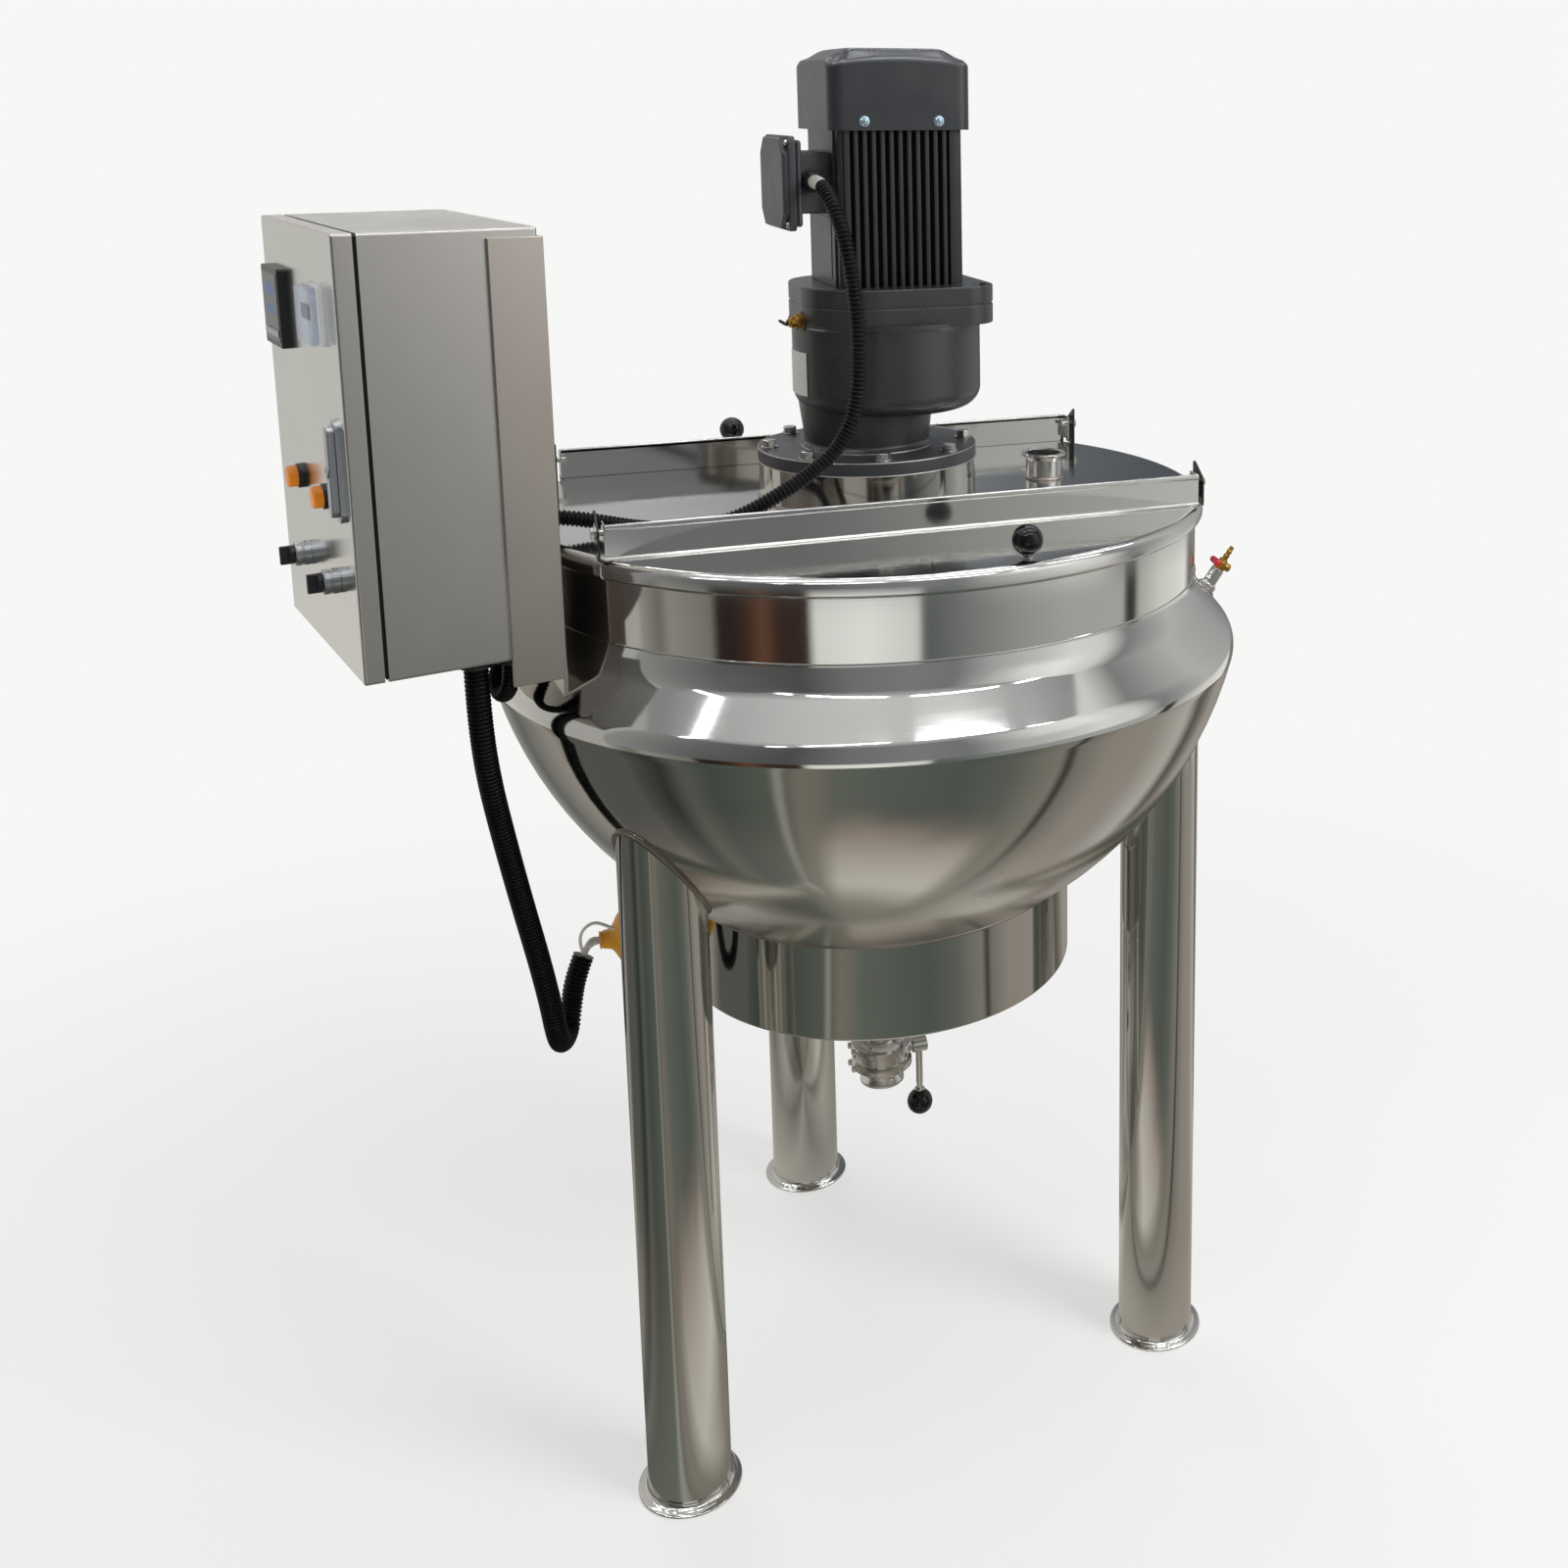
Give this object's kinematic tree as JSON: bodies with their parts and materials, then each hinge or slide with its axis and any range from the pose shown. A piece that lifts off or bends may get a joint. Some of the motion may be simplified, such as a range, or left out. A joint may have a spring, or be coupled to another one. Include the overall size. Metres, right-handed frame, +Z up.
{
  "type": "jacketed cooking kettle",
  "caption": "Jacketed cooking kettle on tube legs, with a geared motor on the bridge, flip lids, a side control cabinet, a heater skirt and a clamped bottom outlet.",
  "frame": {"origin": "on the floor, under the middle of the plan between the cabinet door and the far side of the jacket", "axes": "+Z up along the kettle axis, X along the lid hinges with the cabinet at -X, -Y towards the front lid"},
  "size_m": [1.2611, 1.0098, 1.864],
  "materials": {
    "polished_steel": "mirror-polished stainless steel",
    "brushed_steel": "satin stainless sheet",
    "galvanised_panel": "plain sheet panel",
    "grey_paint": "dark grey paint on castings, satin",
    "black_nylon": "black nylon",
    "black_conduit": "black corrugated plastic",
    "white_leads": "bundle of white insulated wires",
    "brass": "worn brass",
    "red_plastic": "red plastic grip",
    "yellow_rubber": "yellow rubber boot",
    "black_rubber": "black foam strip",
    "black_knob": "glossy black knob",
    "black_plastic": "black moulded plastic",
    "chrome": "bright chrome ring",
    "orange_lens": "orange lens in a black collar"
  },
  "bodies": {
    "kettle": {"inner_pot": "polished_steel", "jacket_shell": "polished_steel", "heater_skirt": "polished_steel", "leg_front_left": "polished_steel", "leg_front_right": "polished_steel", "leg_rear": "polished_steel", "bridge_plate": "polished_steel", "hinge_bolts": "polished_steel", "lid_ferrule": "polished_steel", "drive_drum": "polished_steel", "drive_flange": "grey_paint", "gear_case": "grey_paint", "motor_adapter": "grey_paint", "motor_body": "grey_paint", "fan_cowl": "grey_paint", "terminal_box": "grey_paint", "terminal_lid": "grey_paint", "motor_gland": "black_nylon", "breather_plug": "brass", "agitator_shaft": "polished_steel", "agitator_anchor": "polished_steel", "cabinet_body": "brushed_steel", "cabinet_gasket": "black_rubber", "mounting_panel": "galvanised_panel", "cabinet_bracket": "polished_steel", "outlet_pipe": "polished_steel", "outlet_valve": "polished_steel", "vent_cock": "brass", "heater_terminal": "polished_steel", "heater_boot": "yellow_rubber", "conduit_glands": "black_nylon", "motor_conduit": "black_conduit", "heater_conduit": "black_conduit", "heater_leads": "white_leads", "sensor_conduit": "black_conduit"},
    "front_lid": {"front_lid": "polished_steel", "front_knob": "black_knob"},
    "rear_lid": {"rear_lid": "polished_steel", "rear_knob": "black_knob"},
    "cabinet_door": {"cabinet_door": "polished_steel", "controller": "black_plastic", "timer": "black_plastic", "pilot_lights": "orange_lens", "selector_bezels": "chrome", "door_latch": "black_plastic"},
    "door_handle": {"door_handle": "black_plastic"},
    "selector_knob_far": {"selector_knob_far": "black_plastic"},
    "selector_knob_near": {"selector_knob_near": "black_plastic"},
    "outlet_lever": {"outlet_lever": "black_knob"},
    "vent_handle": {"vent_handle": "red_plastic"}
  },
  "joints": [
    {"name": "front_lid_hinge", "type": "hinge", "parent": "kettle", "child": "front_lid", "pos_m": [0.11564, -0.233, 1.298], "axis": [-1, 0, 0], "range_deg": [0, 95]},
    {"name": "rear_lid_hinge", "type": "hinge", "parent": "kettle", "child": "rear_lid", "pos_m": [0.11564, 0.233, 1.298], "axis": [1, 0, 0], "range_deg": [0, 95]},
    {"name": "door_hinge", "type": "hinge", "parent": "kettle", "child": "cabinet_door", "pos_m": [-0.59867, 0.12722, 1.4], "axis": [0, 0, -1], "range_deg": [0, 110]},
    {"name": "door_handle_turn", "type": "hinge", "parent": "cabinet_door", "child": "door_handle", "pos_m": [-0.55184, -0.22487, 1.435], "axis": [-0.9772, -0.2123, 0], "range_deg": [0, 90]},
    {"name": "selector_far_turn", "type": "hinge", "parent": "cabinet_door", "child": "selector_knob_far", "pos_m": [-0.60892, -0.02339, 1.255], "axis": [-0.9772, -0.2123, 0], "range_deg": [-45, 45]},
    {"name": "selector_near_turn", "type": "hinge", "parent": "cabinet_door", "child": "selector_knob_near", "pos_m": [-0.57579, -0.17583, 1.255], "axis": [-0.9772, -0.2123, 0], "range_deg": [-45, 45]},
    {"name": "outlet_lever_turn", "type": "hinge", "parent": "kettle", "child": "outlet_lever", "pos_m": [0.17264, 0, 0.427], "axis": [1, 0, 0], "range_deg": [0, 90]},
    {"name": "vent_handle_turn", "type": "hinge", "parent": "kettle", "child": "vent_handle", "pos_m": [0.60611, -0.08648, 1.14298], "axis": [-0.8164, 0.144, 0.5592], "range_deg": [0, 90]}
  ]
}
